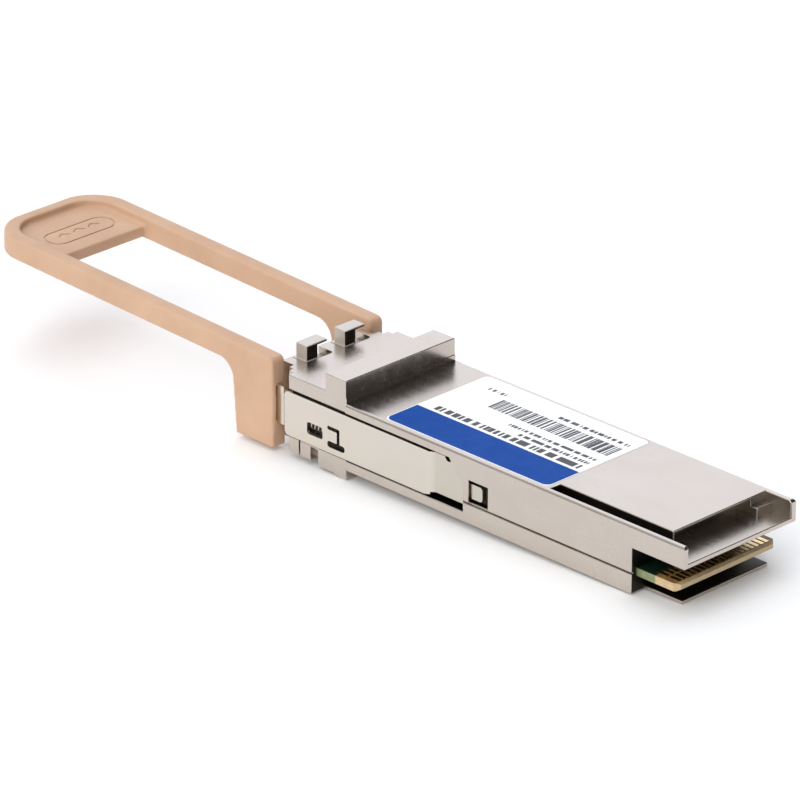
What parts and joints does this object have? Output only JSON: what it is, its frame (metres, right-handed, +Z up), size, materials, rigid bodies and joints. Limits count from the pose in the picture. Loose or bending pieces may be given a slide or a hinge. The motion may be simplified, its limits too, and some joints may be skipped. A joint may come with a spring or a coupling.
{
  "type": "optical transceiver module",
  "caption": "Pluggable optical transceiver: flat nickel-plated housing with a duplex LC port, a card-edge plug and a sliding pull tab that releases the latch.",
  "frame": {"origin": "middle of the body's underside at the stop plane, where the head meets the cage", "axes": "+Y is the insertion direction, towards the card edge; -Y is the fibre and pull-tab side; +Z is up; +X is to the right seen from the fibre side"},
  "size_m": [0.0184, 0.1176, 0.0135],
  "materials": {
    "nickel": "satin nickel plate on die-cast zinc",
    "steel": "satin stamped stainless sheet",
    "tab": "soft beige moulded elastomer, matte",
    "spring": "drawn spring wire",
    "zirconia": "polished white ceramic",
    "gold_case": "gold-plated case",
    "heat_pad": "soft filled silicone",
    "polyimide": "amber flexible circuit",
    "board": "green solder mask, bare tan laminate at the plug-in edge",
    "gold": "hard gold plate",
    "chip": "moulded black package",
    "inductor": "pressed ferrite",
    "can": "plated lid",
    "capacitor": "fired ceramic",
    "screw": "dark plated steel",
    "label": "white polyester label with a plain blue band along one edge"
  },
  "bodies": {
    "module": {"upper_housing": "nickel", "lower_housing": "nickel", "return_spring_right": "spring", "return_spring_left": "spring", "lc_receptacle": "nickel", "ferrule_sleeve_right": "zirconia", "ferrule_sleeve_left": "zirconia", "optics_right": "gold_case", "optics_left": "gold_case", "optics_clamp": "steel", "optics_pads": "heat_pad", "flex_right": "polyimide", "flex_left": "polyimide", "main_board": "board", "contacts_top": "gold", "contacts_bottom": "gold", "retimer_chip": "chip", "retimer_pad": "heat_pad", "laser_driver": "chip", "receiver_amp": "chip", "microcontroller": "chip", "power_inductors": "inductor", "oscillator": "can", "chip_capacitors": "capacitor", "housing_screws": "screw", "label": "label"},
    "latch_slide": {"pull_tab": "tab", "latch_arm_right": "steel", "latch_arm_left": "steel"}
  },
  "joints": [
    {"name": "tab_pull", "type": "slide", "parent": "module", "child": "latch_slide", "axis": [0, -1, 0], "range_m": [0, 0.003], "stiffness_N_per_m": 500, "springref_m": -0.001, "deforming": ["return_spring_right", "return_spring_left"]}
  ]
}
